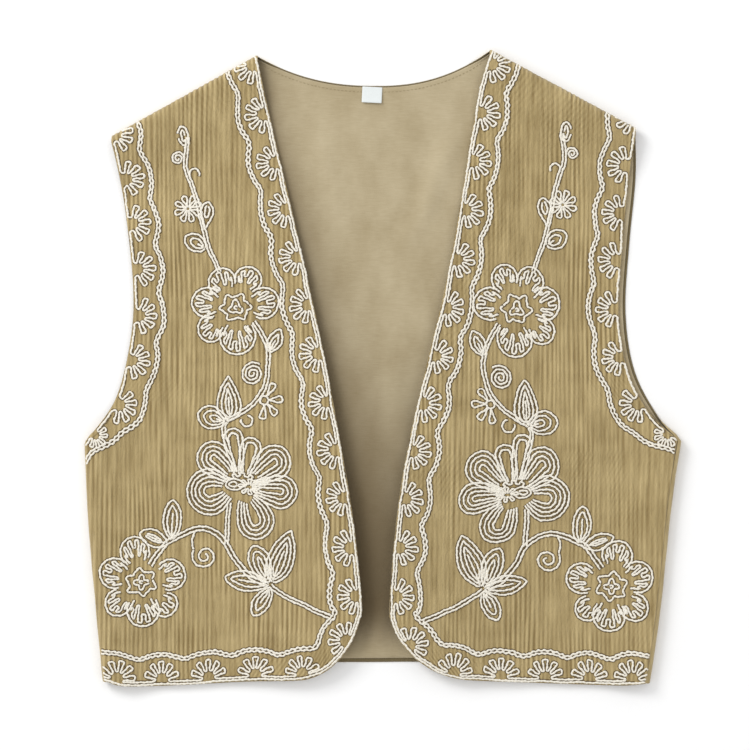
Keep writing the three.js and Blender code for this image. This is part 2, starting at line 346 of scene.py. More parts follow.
# The soft edge of a wall, as shares of its thickness, and what its attributes say there: the rise gives
# the rim the gauze's darker colour, which is partly painted shade, and `inside` gives it a share of the
# covered face's colour.
EDGE_BULGE, EDGE_DRAWN_IN = 0.32, 0.14
EDGE_RISE, EDGE_INSIDE = -0.6, 0.4


def crinkle(x, y):
    """How far the gauze's ridges rise, from about -1 in the furrows to 1 on the ridges."""
    wander = 2.2 * noise(x, y, (38, 190), 1) + 1.1 * noise(x, y, (9, 60), 2)
    strength = 0.66 + 0.5 * noise(x, y, (11, 38), 3)
    main = np.cos(2 * math.pi * (x + wander) / RIDGE_PITCH)
    return strength * main + 0.5 * noise(x, y, (2.6, 24), 4) + 0.2 * noise(x, y, (30, 7), 5)


def fold_rise(x, y):
    """How far the lining's soft folds lift it."""
    rise = np.zeros(x.shape)
    for fold in LINING_FOLDS:
        cos, sin = math.cos(fold["direction"] * DEGREE), math.sin(fold["direction"] * DEGREE)
        dx, dy = x - fold["x"], y - fold["y"]
        along = np.abs(dx * cos + dy * sin) / (fold["length"] / 2)
        across = (dy * cos - dx * sin) / fold["width"]
        rise += fold["height"] * np.exp(-across * across) * (1 - eased(0.3, 1, along))
    return rise


def mesh_object(name, points, faces, attributes=()):
    """A smooth mesh of quads on plan points, with float attributes on its points."""
    mesh = bpy.data.meshes.new(name)
    row_points = (np.asarray(points) + PLAN_SHIFT) * MM
    mesh.vertices.add(len(row_points))
    mesh.vertices.foreach_set("co", row_points.astype(np.float32).ravel())
    mesh.loops.add(faces.size)
    mesh.loops.foreach_set("vertex_index", faces.astype(np.int32).ravel())
    mesh.polygons.add(len(faces))
    mesh.polygons.foreach_set("loop_start", (4 * np.arange(len(faces))).astype(np.int32))
    mesh.polygons.foreach_set("use_smooth", np.full(len(faces), True))
    mesh.update(calc_edges=True)
    for label, values in attributes:
        layer = mesh.attributes.new(label, "FLOAT", "POINT")
        layer.data.foreach_set("value", np.asarray(values, np.float32).ravel())
    piece = bpy.data.objects.new(name, mesh)
    bpy.context.scene.collection.objects.link(piece)
    return piece


def unit(vectors):
    return vectors / np.maximum(np.linalg.norm(vectors, axis=-1, keepdims=True), 1e-12)


def grid_normals(points):
    """Normals of a grid of points, indexed [along, across]."""
    along, across = np.gradient(points, axis=0), np.gradient(points, axis=1)
    return unit(np.cross(across, along))


def grid_faces(rows, columns):
    a = (np.arange(rows - 1)[:, None] * columns + np.arange(columns - 1)).ravel()
    return np.stack([a, a + 1, a + columns + 1, a + columns], -1)


def rim_indices(rows, columns):
    """The edge of a grid, once round, in the order of its faces."""
    grid = np.arange(rows * columns).reshape(rows, columns)
    return np.concatenate([grid[0, :], grid[1:, -1], grid[-1, -2::-1], grid[-2:0:-1, 0]])


def cloth(name, form, across, along, wall, rise=None, relief=(0, 0), shift=None):
    """A wall of cloth with soft edges, on a form, over grids of values across and along it.

    `rise` gives the height of its texture, from -1 to 1, and `relief` how far that moves the two faces.
    `shift` gives how far the whole wall is moved along its normals. The attribute `inside` is 0 on the
    face that looks up and 1 on the face that looks down, where the form lies flat.
    """
    c, r = np.meshgrid(across, along)
    middle = form(c, r)
    normals = grid_normals(middle)
    if normals[..., 2].mean() < 0:
        return cloth(name, form, across[::-1], along, wall, rise, relief, shift)
    x, y = middle[..., 0], middle[..., 1]
    if shift is not None:
        middle = middle + normals * shift(x, y)[..., None]
    texture = rise(x, y) if rise is not None else np.zeros(c.shape)
    outer = middle + normals * (wall / 2 + relief[0] * texture)[..., None]
    inner = middle - normals * (wall / 2 - relief[1] * texture)[..., None]

    rows, columns = c.shape
    rim = rim_indices(rows, columns)
    flat_middle, flat_normals = middle.reshape(-1, 3), normals.reshape(-1, 3)
    next_on, before = flat_middle[np.roll(rim, -1)], flat_middle[np.roll(rim, 1)]
    outward = unit(np.cross(unit(next_on - before), flat_normals[rim]))
    bulge = flat_middle[rim] + outward * wall * EDGE_BULGE
    outer.reshape(-1, 3)[rim] -= flat_normals[rim] * wall * EDGE_DRAWN_IN
    inner.reshape(-1, 3)[rim] += flat_normals[rim] * wall * EDGE_DRAWN_IN

    count = rows * columns
    faces = grid_faces(rows, columns)
    under = faces[:, ::-1] + count
    bulge_index = 2 * count + np.arange(len(rim))
    upper_side = np.stack([rim, bulge_index, np.roll(bulge_index, -1), np.roll(rim, -1)], -1)
    lower_side = np.stack(
        [bulge_index, rim + count, np.roll(rim, -1) + count, np.roll(bulge_index, -1)], -1
    )
    points = np.vstack([outer.reshape(-1, 3), inner.reshape(-1, 3), bulge])
    rises = np.concatenate([texture.ravel(), texture.ravel(), np.full(len(rim), EDGE_RISE)])
    inside = np.concatenate([np.zeros(count), np.ones(count), np.full(len(rim), EDGE_INSIDE)])
    all_faces = np.vstack([faces, under, upper_side, lower_side])
    return mesh_object(name, points, all_faces, [("rise", rises), ("inside", inside)])


# --- Chain stitch

STITCH = {"half_width": 0.98, "height": 0.95, "sunk": 0.35, "link": 2.6, "stagger": 0.16}
LINK_RINGS = 4
# How narrow and low a link is where it is least full, its groove's depth, and how much links vary.
JOINT_WIDTH, JOINT_HEIGHT, GROOVE, UNEVEN = 0.58, 0.72, 0.3, 0.09
SHOULDER_AT = 0.56
SHORTEST_RUN = 5
# A painted shadow beside the stitches, a dark ribbon just over the cloth: how far it shows past them,
# its steps and its height.
STITCH_SHADOW_SHOWS, STITCH_SHADOW_STEP, STITCH_SHADOW_OVER = 0.55, 1.25, 0.09


def resampled(line, step):
    """The polyline's points at even steps, with its ends kept."""
    line = np.asarray(line, float)
    lengths = lengths_along(line)
    count = max(3, int(round(lengths[-1] / step)) + 1)
    return read_at(np.linspace(0, lengths[-1], count), lengths, line)


def tangents(line):
    return unit(np.gradient(line, axis=0))


def offset(line, distance):
    """The line moved to its left by a distance, which may vary along it."""
    t = tangents(line)
    left = np.stack([-t[:, 1], t[:, 0]], -1)
    return line + left * np.broadcast_to(distance, len(line))[:, None]


def averaged(values, reach):
    """A running mean along a path."""
    padded = np.pad(values, [(reach, reach)] + [(0, 0)] * (values.ndim - 1), mode="edge")
    return sum(padded[k : k + len(values)] for k in range(2 * reach + 1)) / (2 * reach + 1)


class Ground:
    """The face of the cloth that the stitches lie on."""

    def __init__(self, piece):
        self.tree = BVHTree.FromObject(piece, bpy.context.evaluated_depsgraph_get())

    def hits(self, line):
        """For each point of a plan line, the height of the cloth and its normal; NaN off the cloth."""
        found = np.full((len(line), 4), np.nan)
        for k, (x, y) in enumerate((line + PLAN_SHIFT[:2]) * MM):
            place, normal, _, _ = self.tree.ray_cast(Vector((x, y, 0.1)), Vector((0, 0, -1)))
            if place is not None:
                found[k] = (place.z / MM, *normal)
        return found

    def runs(self, line):
        """The stretches of a plan line that are on the cloth: their points in space and normals."""
        found = self.hits(line)
        for stretch in stretches(~np.isnan(found[:, 0])):
            if len(stretch) > SHORTEST_RUN:
                z = averaged(found[stretch, 0], 2)
                yield np.column_stack([line[stretch], z]), unit(averaged(found[stretch, 1:], 3))


def stretches(good):
    """The indices where `good` is true, in runs of neighbours."""
    on = np.flatnonzero(good)
    return np.split(on, np.flatnonzero(np.diff(on) > 1) + 1)


def strips(blocks, closed):
    """Quads along several rows of rings, each an array indexed [ring, point of the ring]."""
    faces, total = [], 0
    for block in blocks:
        rings, around = block.shape[:2]
        a = np.arange(around if closed else around - 1)
        b = (a + 1) % around
        start = total + np.arange(rings - 1)[:, None] * around
        faces.append(np.stack([start + a, start + b, start + b + around, start + a + around], -1))
        total += rings * around
    return np.vstack([block.reshape(-1, 4) for block in faces])


def stitched(name, lines, ground, size=1.0):
    """Chain stitch along plan lines, as one mesh: rows of links with a groove down the middle."""
    phase = np.arange(LINK_RINGS) / LINK_RINGS
    full = np.sin(math.pi * np.clip(phase + 0.12, 0, 1)) ** 0.6
    rng = np.random.default_rng(len(lines))
    blocks, painted_shade_rows = [], []
    for line in lines:
        for path, normals in ground.runs(resampled(line, size * STITCH["link"] / LINK_RINGS)):
            tangent = unit(np.gradient(path, axis=0))
            side = unit(np.cross(normals, tangent))
            up = np.cross(tangent, side)
            place = np.arange(len(path)) + int(rng.integers(LINK_RINGS))
            fullness = full[place % LINK_RINGS]
            swell = 1 + UNEVEN * rng.standard_normal(place[-1] // LINK_RINGS + 1)[place // LINK_RINGS]
            half = size * STITCH["half_width"] * mix(JOINT_WIDTH, 1, fullness) * swell
            path = path + side * (STITCH["stagger"] * np.sin(math.pi * place / LINK_RINGS))[:, None]
            high = size * STITCH["height"] * mix(JOINT_HEIGHT, 1, fullness) * swell
            half[[0, -1]], high[[0, -1]] = 0.3 * size, -STITCH["sunk"]
            groove = high - GROOVE * fullness * np.maximum(high, 0)
            foot = np.full(len(path), -STITCH["sunk"])
            ring = [(-1, foot), (-SHOULDER_AT, high), (0, groove), (SHOULDER_AT, high), (1, foot)]
            rows = [path + side * (out * half)[:, None] + up * rise[:, None] for out, rise in ring]
            blocks.append(np.stack(rows, 1))
            # Painted shade in the attribute `depth`: 1 at the links' feet, 0.7 down the groove, and on
            # the shoulders from 0 where a link is full to 0.55 at the joints; the thread material
            # darkens the cream by it.
            joint = 0.55 * (1 - fullness)
            lowest, middle = np.ones(len(path)), np.full(len(path), 0.7)
            painted_shade_rows.append(np.stack([lowest, joint, middle, joint, lowest], 1))
    points = np.vstack([block.reshape(-1, 3) for block in blocks])
    depth = np.concatenate([block.ravel() for block in painted_shade_rows])
    return mesh_object(name, points, strips(blocks, True), [("depth", depth)])


def shadow_ribbon(name, lines, ground):
    """A painted shadow along the stitches: a narrow dark ribbon just over the cloth."""
    half = STITCH["half_width"] + STITCH_SHADOW_SHOWS
    blocks = []
    for line in lines:
        path = resampled(line, STITCH_SHADOW_STEP)
        rows = [offset(path, half), path, offset(path, -half)]
        found = [ground.hits(row)[:, 0] + STITCH_SHADOW_OVER for row in rows]
        block = np.stack([np.column_stack(pair) for pair in zip(rows, found)], 1)
        blocks += [block[k] for k in stretches(~np.isnan(block).any((1, 2))) if len(k) > 3]
    points = np.vstack([block.reshape(-1, 3) for block in blocks])
    return mesh_object(name, points, strips([block[:, ::-1] for block in blocks], False))


# --- Motifs: each is a list of plan lines about its own middle, or from its own foot along +x


def turned(line, angle, middle=(0, 0)):
    cos, sin = math.cos(angle * DEGREE), math.sin(angle * DEGREE)
    x, y = np.asarray(line, float).T
    return np.column_stack([x * cos - y * sin, x * sin + y * cos]) + middle


def placed(lines, angle=0, middle=(0, 0)):
    return [turned(line, angle, middle) for line in lines]


TWIST = 4.6
PATH_STEP = 0.8


def paired(line, gap=1.2, wave=0.0):
    """Two strands side by side, which close up and part again if there is a wave."""
    line = resampled(line, 0.6)
    distance = gap * (1 - wave * np.cos(2 * math.pi * lengths_along(line) / TWIST))
    return [offset(line, distance), offset(line, -distance)]


def arc_of(radius, start, stop, middle=(0, 0)):
    """An arc as a function of a share; its radius may be a function of the angle, in degrees."""

    def line(share):
        angle = mix(start, stop, np.asarray(share, float))
        length = radius(angle) if callable(radius) else radius
        return np.stack([length * np.cos(angle * DEGREE), length * np.sin(angle * DEGREE)], -1) + middle

    return line


def arc_line(radius, start, stop, middle=(0, 0), steps=48):
    return arc_of(radius, start, stop, middle)(np.linspace(0, 1, steps))


def meander(near, far, loops, bulge=0.2, short=0.0):
    """A serpentine between two lines, each a function of a share, with loops round at their ends.

    Every second turn on the near line stops `short` of it by that share of the way."""
    phase = np.linspace(0, loops, int(loops * 28))
    reach = eased(0.04, 0.96, 0.5 - 0.5 * np.cos(2 * math.pi * phase))
    reach = mix(reach, 1, short * np.sin(math.pi * phase / 2) ** 2)
    share = np.clip((phase + bulge * np.sin(4 * math.pi * phase) / 2) / loops, 0, 1)
    return mix(near(share), far(share), reach[:, None])


def fan():
    """Half a sun of five narrow loops over the x axis, from left to right."""
    return meander(arc_of(5.2, 188, -8), arc_of(14.2, 178, 2), 5, 0.2)


def loop_flower(directions, length, half_width, ring):
    """A ring with long loops standing out from it in some directions."""
    lines = [arc_line(ring, 0, 360)] if ring > 1 else []
    for direction in directions:
        t = np.linspace(0, 1, 40)
        along = mix(ring * 0.8, length, np.sin(math.pi * t) ** 0.8)
        out = half_width * np.sin(2 * math.pi * t) * (0.4 + 0.6 * (along / length) ** 2) * 1.35
        lines.append(turned(np.column_stack([along, out]), direction))
    return lines


def spiral(radius, turns, start, inner=0.1):
    """A tendril's coil, from its outer end inwards to a share of its radius."""
    angle = np.linspace(0, turns * 360, int(turns * 40))
    reach = radius * mix(1, inner, angle / angle[-1])
    turn = start + angle
    return np.column_stack([reach * np.cos(turn * DEGREE), reach * np.sin(turn * DEGREE)])


def leaf(length, half_width, nested=2, fullest=0.45, spacing=3.3, tip=0.75):
    """A leaf from its foot: its outline, hairpins inside it, and a vein if there is room."""
    lines = []
    for k in range(nested):
        start, stop = 0.7 * k * spacing, length - 1.5 * k * spacing
        half = half_width - k * spacing
        if half < 0.9 or stop - start < 4:
            break
        share = np.linspace(0, 1, 40)
        bent = share ** (math.log(0.5) / math.log(fullest))
        out = half * np.sin(math.pi * bent) ** tip
        along = mix(start, stop, share)
        lines.append(np.vstack([np.column_stack([along, out]), np.column_stack([along, -out])[::-1]]))
    if half_width > len(lines) * spacing - 1.2:
        lines.append(np.array([(1.0, 0), (max(length - 1.6 * len(lines) * spacing, 0.4 * length), 0)]))
    return lines


def petal(length, half_width, nested, spacing=3.5, foot=0.22):
    """A round petal from the flower's middle, as nested hairpins that open towards it."""
    lines = []
    for k in range(nested):
        half, tip = half_width - k * spacing, length - k * spacing
        if half < 1.4:
            break
        swell = length - half_width
        base = length * foot * (1 + 0.14 * k)
        round_end = arc_line(half, -95, 95, (swell, 0), 24)
        feet = [(base, -0.4 * half - 0.5), (mix(base, swell, 0.5), -0.82 * half)]
        back = [(x, -y) for x, y in reversed(feet)]
        lines.append(smooth_line(np.vstack([feet, round_end, back]), 4))
    return lines


def looped_lobe(distance, radius):
    """A flower's lobe: its round outline, and a serpentine in it that opens from near its foot."""
    middle, foot = (distance, 0), (distance - 0.78 * radius, 0)
    outline = arc_line(radius, -128, 128, middle)
    near, far = arc_of(0.52 * radius, -84, 84, foot), arc_of(radius - 2.7, -124, 124, middle)
    return [outline, meander(near, far, round((radius - 2.7) * 0.63), 0.2, 0.5)]


def looped_flower(lobes, heart):
    """A flower of lobes filled with loops, round a core with a small figure in its middle.

    Each lobe is (direction, distance, radius); the heart is the core's number of corners."""
    lines = []
    for direction, distance, radius in lobes:
        lines += placed(looped_lobe(distance, radius), direction)

    def core(angle):
        waves = len(lobes) * (angle - lobes[0][0]) * DEGREE
        return 9.6 + 1.5 * np.cos(waves) + 0.5 * np.cos(2 * waves + 1)

    def figure(angle):
        return 4.6 + 1.5 * np.cos((angle - 90) * heart * DEGREE)

    lines.append(arc_line(core, 15, 375, steps=110) * (1.12, 1))
    lines.append(arc_line(figure, 0, 360, steps=60))
    lines.append(arc_line(1.3, 0, 330, steps=14))
    return lines


LOOPED_TOP = [
    (66, 24.2, 10.0),
    (9, 22.0, 12.2),
    (274, 23.4, 14.0),
    (220, 26.6, 10.4),
    (171, 23.0, 12.2),
    (118, 22.8, 10.8),
]
LOOPED_LOW = [
    (101, 24.6, 11.8),
    (160, 21.8, 11.8),
    (222, 23.8, 10.6),
    (276, 22.4, 12.8),
    (318, 26.4, 9.4),
    (14, 24.6, 12.0),
]
NESTED_PETALS = [
    {"direction": 190, "length": 44.5, "half_width": 18.2, "nested": 5},
    {"direction": 136, "length": 45, "half_width": 13.4, "nested": 4},
    {"direction": 101, "length": 46, "half_width": 7.4, "nested": 2},
    {"direction": 77, "length": 39, "half_width": 8.0, "nested": 2},
    {"direction": 37, "length": 45, "half_width": 13.2, "nested": 4},
    {"direction": 352, "length": 44, "half_width": 12.8, "nested": 4},
    {"direction": 292, "length": 44, "half_width": 14.6, "nested": 4},
]


def nested_flower():
    lines = []
    for row in NESTED_PETALS:
        lines += placed(petal(row["length"], row["half_width"], row["nested"]), row["direction"])
    lines.append(arc_line(2.0, 0, 360) * (1.7, 0.9) - (7, -1))
    lines.append(arc_line(4.6, 20, 350) * (1.5, 0.95) - (6, -1))
    near, far = arc_of(2.2, 190, -150, (5, -1)), arc_of(7.6, 190, -150, (5, -1))
    lines.append(meander(near, far, 8, 0.16) * (1.15, 0.8))
    lines.append(meander(arc_of(11.5, 150, -40), arc_of(8.8, 150, -40), 6) * (1.2, 0.9))
    return lines


# --- The embroidery of one front, in the plan of the wearer's right

SPRIG_STEM = [
    (-155, 185), (-157, 169), (-157, 160), (-152, 147), (-148.5, 135), (-145.5, 122), (-142, 110),
    (-139, 98.5), (-134, 86), (-130, 77),
]
MIDDLE_STEM = [(-103, 38), (-92, 19.5), (-91, 3), (-94, -14), (-103, -27), (-116, -36.5), (-125, -41)]
BRANCH = [
    (-186, -157), (-178, -146), (-172, -139), (-166, -135.5), (-155.5, -130), (-144, -127.5),
    (-133, -131), (-123.5, -140.5), (-117, -152.5), (-106, -165), (-93, -171.5),
]
LOW_STEM = [(-90, -172), (-84, -177), (-72, -184), (-58, -190.5), (-41, -197)]


def motifs():
    """The sprig, flowers, leaves and tendrils from the shoulder down to the hem."""
    lines = []

    def put(shapes, x, y, angle=0):
        lines.extend(placed(shapes, angle, (x, y)))

    def stem(points, gap):
        lines.extend(paired(smooth_line(points), gap))

    # the sprig
    stem(SPRIG_STEM, 1.15)
    put([arc_line(4.0, -170, 165) * (1, 1.9), arc_line(1.4, 0, 330) * (1, 3.4)], -158.6, 185.5, 4)
    put([spiral(5.2, 2.2, -20)], -163.5, 168)
    put([arc_line(4.3, 215, -25)], -149.8, 156)
    put(loop_flower(range(20, 380, 45), 10.6, 1.9, 1.0), -155.5, 128)
    put(leaf(23, 5.2, 1, 0.66)[:1] + [arc_line(2.0, 0, 340) * (2.4, 1) + (15, 0)], -141.8, 110.5, 84)
    put(leaf(18, 6.8, 2, 0.5, tip=0.55), -141.5, 97, 153)

    # the upper flower and what hangs from it
    put(looped_flower(LOOPED_TOP, 3), -117, 49.3)
    stem(MIDDLE_STEM, 1.3)
    put(leaf(21, 5.4, 2, 0.5, 3.0), -90.3, 13, 64)
    put([spiral(9.4, 3.1, 48, 0.08)], -103.7, -4)
    put(loop_flower((56, 2, -49, -95), 15.0, 2.3, 3.3), -94.5, -25)
    put([arc_line(4.7, 88, -205)], -108.6, -41.5)
    put(leaf(35, 9.2, 3, 0.33, 3.3, 0.8), -122.5, -40.5, 91)
    put(leaf(23.5, 9.0, 3, 0.55, 3.2, 0.55), -124.5, -42, 166)

    # the large flower
    stem([(-125, -42), (-127, -47), (-126, -55), (-122, -64)], 1.2)
    put(nested_flower(), -112, -93.5)
    stem([(-122, -106), (-124, -120), (-124.3, -140)], 1.3)

    # the branch, its tendril, leaves and the lower flower
    stem(BRANCH, 1.55)
    put([spiral(10.2, 1.85, 150, 0.14)], -142, -149.5)
    lines.append(smooth_line([(-149.5, -129.5), (-152, -137), (-151, -144.5)]))
    put(leaf(31, 7.2, 2, 0.5, 3.1, 0.6), -167.5, -136, 91)
    long_ring = arc_line(2.0, 0, 345) * (3.6, 1) + (12, 0)
    put(leaf(24, 6.4, 1, 0.5, 3.3, 0.6) + [long_ring], -171.5, -139.5, 159)
    put(looped_flower(LOOPED_LOW, 4), -193, -170.3)

    # the spray of four leaves and its stem
    put(leaf(31.5, 8.2, 3, 0.55, 3.2, 0.6), -91, -170, 113)
    put(leaf(43, 10.4, 3, 0.42, 3.4, 0.8), -88, -169.5, 69)
    put(leaf(35, 7.2, 2, 0.5, 3.3, 0.7), -91, -171.5, 172)
    put(leaf(26, 6.6, 2, 0.55, 3.2, 0.6), -89.5, -173.5, 241)
    stem(LOW_STEM, 1.3)
    return lines


# The line that the left front's flowers mirror the right's about, in x.
MIRROR = -5.2
# How far the wearer's left front's flowers lie from the mirror image of the right's, by height.
NUDGES = {
    "y": (-200, -140, -90, -40, -5, 48, 84, 127, 190),
    "dx": (0.6, 0.0, 4.0, 2.5, 0.5, 0.0, 0.5, -0.8, -2.4),
    "dy": (-4.0, -2.5, -6.4, -4.0, -3.2, -1.6, 1.6, 3.2, 4.0),
}


def mirrored(line):
    x, y = line.T
    dx, dy = [np.interp(y, NUDGES["y"], NUDGES[way]) for way in ("dx", "dy")]
    return np.column_stack([2 * MIRROR - x + dx, y + dy])


def by_hand(line, seed):
    """The line a little off its drawn place, as hand-guided stitching is."""
    line = resampled(line, PATH_STEP)
    x, y = line.T
    slow = [noise(x, y, (16, 16), seed + k) for k in (0, 1)]
    quick = [noise(x, y, (4.5, 4.5), seed + k) for k in (2, 3)]
    return line + np.stack(slow, -1) * 0.7 + np.stack(quick, -1) * 0.3


# --- The borders

# A fan's middle is FAN_SEAT in from the edge. Its loops end FAN_REACH in, and FAN_ROOM short of the
# wavy line, for which the fan is made smaller, but no smaller than SMALLEST_FAN.
FAN_SEAT = 4.5
FAN_REACH = 18.7
FAN_ROOM = 2.0
SMALLEST_FAN = 0.6
# How far in the chains are: a single one, one inside an outer chain, and the outer chain itself.
SINGLE_INSET, CHAIN_INSET, OUTER_INSET = 1.7, 2.9, 0.9
# How far in the wavy line is at its crests and dips, and its strands' gap and how far that varies.
CREST, DIP = 24.6, 19.4
STRAND_GAP, STRAND_WAVE = 1.08, 0.36
# Lines run on past the cloth's corners, where they are then cut off.
OVERRUN = 16
# The armhole's wavy line is this share of its distance in at the underarm.
NARROWEST = 0.42


def extended(line, length):
    """The polyline with a straight length added at each end."""
    first, last = unit(line[0] - line[2]), unit(line[-1] - line[-3])
    return np.vstack([line[0] + first * length, line, line[-1] + last * length])


def border(path, inward, first, last, count, drift=((0, 1), (0, 0)), reach=None, double=False):
    """A border on an edge: a chain that turns in to make fans, and a wavy double line inside it.

    `inward` is 1 if the cloth is to the left of the path. The fans' middles are evenly spaced from
    `first` along the path to `last` before its end, then moved on by a drift of (numbers, distances).
    `reach` scales the wavy line's distance from the edge along the path, and where it comes close the
    fans are smaller. A `double` border has an outer chain too."""
    path = resampled(extended(path, OVERRUN), PATH_STEP)
    lengths = lengths_along(path)
    normal = tangents(path)[:, ::-1] * (-inward, inward)
    stations = np.linspace(first + OVERRUN, lengths[-1] - OVERRUN - last, count)
    stations += np.interp(np.arange(count), *drift)

    phase = np.interp(lengths, stations, np.arange(count))
    step = stations[1] - stations[0]
    phase += np.minimum(lengths - stations[0], 0) / step + np.maximum(lengths - stations[-1], 0) / step
    crest = np.abs(np.cos(math.pi * phase)) ** 0.85
    distance = mix(DIP, CREST, crest) * (1 if reach is None else reach(lengths))

    def at(s, inset):
        normals = unit(read_at(s, lengths, normal))
        return read_at(s, lengths, path) + normals * np.asarray(inset)[..., None]

    inset = CHAIN_INSET if double else SINGLE_INSET
    chain, start = [], 0.0
    for station in stations:
        room = np.interp(station, lengths, distance) - FAN_ROOM
        size = np.clip(room / FAN_REACH, SMALLEST_FAN, 1)
        half_sun = fan() * size
        foot = 0.2 - half_sun[0, 0]
        run = np.arange(start, station - foot, 1.0)
        chain.append(at(run, np.full(len(run), inset)))
        middle = at(station, FAN_SEAT * size)
        inner = unit(at(station, FAN_SEAT + 1.0) - at(station, FAN_SEAT))
        along = np.array([inner[1], -inner[0]]) * inward
        chain.append(middle + half_sun[:, :1] * along + half_sun[:, 1:] * inner)
        start = station + foot
    run = np.arange(start, lengths[-1], 1.0)
    chain.append(at(run, np.full(len(run), inset)))
    lines = [averaged(np.vstack(chain), 1)]
    if double:
        lines.append(at(lengths, np.full(len(lengths), OUTER_INSET)))
    wavy = averaged(path + normal * distance[:, None], 5)
    return lines + paired(wavy, STRAND_GAP, STRAND_WAVE)


def borders(side, ends):
    hem, edge, _, seam = front_lines(side)
    inward = side["inward"]
    share = np.linspace(0, 1, 200)
    outline = np.vstack([hem(share), edge(share[1:])])
    lines = border(outline, inward, *ends["outline"], double=True)
    armhole = seam(mix(UNDERARM, 1, share))

    def narrowed(s):
        return mix(NARROWEST, 1, eased(OVERRUN - 6, OVERRUN + 34, s))

    return lines + border(armhole, -inward, *ends["armhole"], reach=narrowed)


BORDER_ENDS = {
    "right": {
        "outline": (5.5, 7.5, 18, ((0, 4, 5, 17), (0, -6, 4.5, 5))),
        "armhole": (2, -5.5, 8, ((0, 1), (7, 0))),
    },
    "left": {
        "outline": (9, 4.5, 18, ((0, 3, 4, 5, 6, 12, 17), (0, -12.6, -13, -8, -1.8, -3.5, -1.5))),
        "armhole": (2, -9, 8, ((0, 1, 7), (7, 2, 4))),
    },
}


# --- Materials


def linear(*rgb):
    """A colour given as it is seen, from 0 to 255, in the renderer's own values."""
    share = np.array(rgb) / 255
    return (*np.where(share < 0.04045, share / 12.92, ((share + 0.055) / 1.055) ** 2.4), 1.0)


class Nodes:
    """The nodes of one material, with a short way to add one and set its inputs."""

    def __init__(self, name):
        self.material = bpy.data.materials.new(name)
        self.material.use_nodes = True
        self.tree = self.material.node_tree
        self.tree.nodes.clear()
        coordinates = self.tree.nodes.new("ShaderNodeTexCoord")
        self.place = coordinates.outputs["Object"]

    def add(self, kind, inputs=(), output=0, **settings):
        node = self.tree.nodes.new("ShaderNode" + kind)
        for key, value in settings.items():
            setattr(node, key, value)
        for key, value in dict(inputs).items():
            if isinstance(value, bpy.types.NodeSocket):
                self.tree.links.new(value, node.inputs[key])
            else:
                node.inputs[key].default_value = value
        return node.outputs[output]

    def noise(self, across, along, detail=2.0):
        """Noise whose grain is `across` by `along` millimetres."""
        scale = (1000 / across, 1000 / along, 1000 / across)
        stretched = self.add("Mapping", {"Vector": self.place, "Scale": scale})
        return self.add("TexNoise", {"Vector": stretched, "Scale": 1.0, "Detail": detail})

    def attribute(self, name):
        return self.add("Attribute", output="Fac", attribute_name=name)

    def math(self, operation, a, b):
        return self.add("Math", {0: a, 1: b}, operation=operation)

    def ranged(self, value, low, high, to_low=0.0, to_high=1.0):
        return self.add("MapRange", {"Value": value, 1: low, 2: high, 3: to_low, 4: to_high})

    def mixed(self, share, a, b):
        return self.add("MixRGB", {"Fac": share, "Color1": a, "Color2": b})

    def bump(self, height, distance, normal=None, strength=1.0):
        inputs = {"Height": height, "Distance": distance, "Strength": strength}
        if normal is not None:
            inputs["Normal"] = normal
        return self.add("Bump", inputs)

    def cloth(self, colour, normal, roughness=0.92, sheen=0.25):
        inputs = {
            "Base Color": colour,
            "Roughness": roughness,
            "Normal": normal,
            "Sheen Weight": sheen,
            "Sheen Roughness": 0.6,
            "Specular IOR Level": 0.15,
        }
        shader = self.add("BsdfPrincipled", inputs)
        surface = self.tree.nodes.new("ShaderNodeOutputMaterial")
        self.tree.links.new(shader, surface.inputs["Surface"])
        return self.material


# The gauze's two colours: the darker is partly the yarn's own tone and partly painted shade in the
# crinkle's furrows, the lighter partly its own tone and partly painted light on the ridges.
GAUZE_DARK_AND_SHADED = linear(136, 115, 71)
GAUZE_LIGHT_AND_LIT = linear(198, 177, 128)
# Painted shade for the back's upward face, inside the garment under the fronts.
GAUZE_SHADE = linear(112, 98, 66)
LINING_DARK = linear(160, 144, 111)
LINING_LIGHT = linear(189, 175, 144)
LINING_SHADE = linear(92, 76, 50)
THREAD_TOP = linear(255, 253, 246)
# The thread's painted shade, at its feet, groove and joints.
THREAD_SHADED = linear(214, 198, 162)
# Painted shadow beside the stitches.
STITCH_SHADOW = linear(94, 77, 46)
LABEL_WHITE = linear(228, 233, 232)


def gauze_material(name, covered_colour, open_side, covered_side):
    """Gauze, in another colour where `inside` goes from `open_side` to `covered_side`."""
    nodes = Nodes(name)
    rise = nodes.attribute("rise")
    streaks = nodes.noise(1.6, 14, 3)
    patches = nodes.noise(45, 60, 2)
    # Painted shade and light: the crinkle's rise makes the furrows darker and the ridges lighter; the
    # streaks and patches are the yarn's own uneven tone.
    level = nodes.math("ADD", nodes.math("MULTIPLY", rise, 0.4), 0.18)
    level = nodes.math("ADD", level, nodes.math("MULTIPLY", streaks, 0.45))
    level = nodes.math("ADD", level, nodes.math("MULTIPLY", patches, 0.2))
    colour = nodes.mixed(nodes.ranged(level, 0.1, 1.0), GAUZE_DARK_AND_SHADED, GAUZE_LIGHT_AND_LIT)
    # The covered face takes the covered colour: the lining's own colour on the fronts' underside,
    # painted shade on the back's upward face; the rims take a share of it.
    covered = nodes.ranged(nodes.attribute("inside"), open_side, covered_side)
    colour = nodes.mixed(covered, colour, covered_colour)
    grain = nodes.noise(0.5, 0.5, 2)
    crimp = nodes.noise(1.3, 9, 3)
    normal = nodes.bump(crimp, 0.0011)
    normal = nodes.bump(grain, 0.00035, normal)
    return nodes.cloth(colour, normal)


